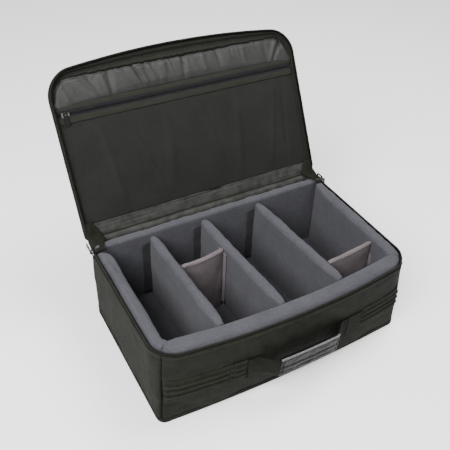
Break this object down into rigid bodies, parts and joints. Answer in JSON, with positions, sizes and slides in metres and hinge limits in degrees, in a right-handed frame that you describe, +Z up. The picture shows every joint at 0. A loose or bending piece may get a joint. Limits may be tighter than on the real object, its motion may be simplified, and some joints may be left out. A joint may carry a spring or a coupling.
{
  "type": "camera bag insert",
  "caption": "Padded fabric box with a zipped lid that hinges at the back, a zipped lid pocket, movable padded dividers, ribbed webbing and a padded carrying handle.",
  "frame": {"origin": "middle of the flat underside, on the surface that the insert stands on", "axes": "+Z up, +X to the right as seen from the handle's side, +Y from the handle's side towards the hinge; the lid stands open, leaning back past upright"},
  "size_m": [0.5108, 0.5138, 0.4463],
  "materials": {
    "shell_fabric": "matt woven charcoal fabric",
    "padding_fleece": "brushed grey loop fleece over foam",
    "cross_padding_fleece": "brushed mauve grey loop fleece over thin foam",
    "hook_tape": "black hook tape",
    "webbing": "ribbed charcoal webbing",
    "grip_leatherette": "semi-gloss black leatherette with a stitched edge",
    "zip_tape": "matt black zip tape",
    "zip_coil": "satin black nylon coil",
    "slider_metal": "bright nickel plate",
    "pull_cord": "black woven pull tab",
    "lid_lining_nylon": "satin dark grey nylon lining",
    "pocket_mesh_fabric": "fine black mesh",
    "foam_board": "grey foam board"
  },
  "bodies": {
    "base": {"base_bottom": "shell_fabric", "base_front_panel": "shell_fabric", "base_back_panel": "shell_fabric", "base_left_panel": "shell_fabric", "base_right_panel": "shell_fabric", "liner_floor": "padding_fleece", "liner_front": "padding_fleece", "liner_back": "padding_fleece", "liner_left": "padding_fleece", "liner_right": "padding_fleece", "rim_zip_tape": "zip_tape", "rim_zip_coil": "zip_coil", "hinge_fold": "shell_fabric", "gusset_left": "shell_fabric", "gusset_right": "shell_fabric", "front_band_left": "webbing", "front_band_right": "webbing", "handle_anchor_left": "webbing", "handle_anchor_right": "webbing"},
    "handle": {"handle_strap": "webbing", "handle_grip": "grip_leatherette"},
    "lid": {"lid_cover": "shell_fabric", "lid_foam_board": "foam_board", "lid_lining": "lid_lining_nylon", "lid_zip_coil": "zip_coil", "lid_zip_tape": "zip_tape", "lid_binding": "zip_tape", "lid_back_strip": "shell_fabric", "hinge_flap": "shell_fabric", "pocket_mesh": "pocket_mesh_fabric", "pocket_tape_lower": "zip_tape", "pocket_tape_upper": "zip_tape", "pocket_coil_lower": "zip_coil", "pocket_coil_upper": "zip_coil"},
    "pocket_slider": {"pocket_slider": "slider_metal"},
    "pocket_pull": {"pocket_pull": "pull_cord"},
    "zip_slider_left": {"zip_slider_left": "slider_metal"},
    "zip_slider_right": {"zip_slider_right": "slider_metal"},
    "zip_pull_left": {"zip_pull_left": "slider_metal"},
    "zip_pull_right": {"zip_pull_right": "slider_metal"},
    "divider_1": {"divider_1": "padding_fleece", "divider_1_tab_back": "hook_tape", "divider_1_tab_front": "hook_tape"},
    "divider_2": {"divider_2": "padding_fleece", "divider_2_tab_back": "hook_tape", "divider_2_tab_front": "hook_tape"},
    "divider_3": {"divider_3": "padding_fleece", "divider_3_tab_back": "hook_tape", "divider_3_tab_front": "hook_tape"},
    "cross_divider_back": {"cross_divider_back": "cross_padding_fleece", "cross_divider_back_tab_left": "cross_padding_fleece", "cross_divider_back_tab_right": "cross_padding_fleece"},
    "cross_divider_front": {"cross_divider_front": "cross_padding_fleece", "cross_divider_front_tab_left": "cross_padding_fleece", "cross_divider_front_tab_right": "cross_padding_fleece"}
  },
  "joints": [
    {"name": "lid_hinge", "type": "hinge", "parent": "base", "child": "lid", "pos_m": [0, 0.15, 0.167], "axis": [1, 0, 0], "range_deg": [0, 118]},
    {"name": "handle_swing", "type": "hinge", "parent": "base", "child": "handle", "pos_m": [0.004, -0.16972, 0.104], "axis": [-1, 0, 0], "range_deg": [0, 70]},
    {"name": "pocket_slider_run", "type": "slide", "parent": "lid", "child": "pocket_slider", "axis": [1, 0, 0], "range_m": [0, 0.451]},
    {"name": "pocket_pull_swing", "type": "hinge", "parent": "pocket_slider", "child": "pocket_pull", "pos_m": [-0.229, 0.26658, 0.36324], "axis": [0, -0.8829, 0.4695], "range_deg": [-45, 60]},
    {"name": "zip_slider_left_run", "type": "slide", "parent": "base", "child": "zip_slider_left", "axis": [0, -1, 0], "range_m": [0, 0.2]},
    {"name": "zip_slider_right_run", "type": "slide", "parent": "base", "child": "zip_slider_right", "axis": [0, -1, 0], "range_m": [0, 0.2]},
    {"name": "zip_pull_left_swing", "type": "hinge", "parent": "zip_slider_left", "child": "zip_pull_left", "pos_m": [-0.2534, 0.124, 0.167], "axis": [0, 0, 1], "range_deg": [0, 170]},
    {"name": "zip_pull_right_swing", "type": "hinge", "parent": "zip_slider_right", "child": "zip_pull_right", "pos_m": [0.2534, 0.124, 0.167], "axis": [0, 0, -1], "range_deg": [0, 170]},
    {"name": "divider_1_shift", "type": "slide", "parent": "base", "child": "divider_1", "axis": [-1, 0, 0], "range_m": [0, 0.02]},
    {"name": "divider_2_shift", "type": "slide", "parent": "base", "child": "divider_2", "axis": [1, 0, 0], "range_m": [0, 0.02]},
    {"name": "divider_3_shift", "type": "slide", "parent": "base", "child": "divider_3", "axis": [-1, 0, 0], "range_m": [0, 0.02]},
    {"name": "cross_divider_back_shift", "type": "slide", "parent": "base", "child": "cross_divider_back", "axis": [0.035, -0.9994, 0], "range_m": [0, 0.06]},
    {"name": "cross_divider_front_shift", "type": "slide", "parent": "base", "child": "cross_divider_front", "axis": [0, 1, 0], "range_m": [0, 0.06]}
  ]
}
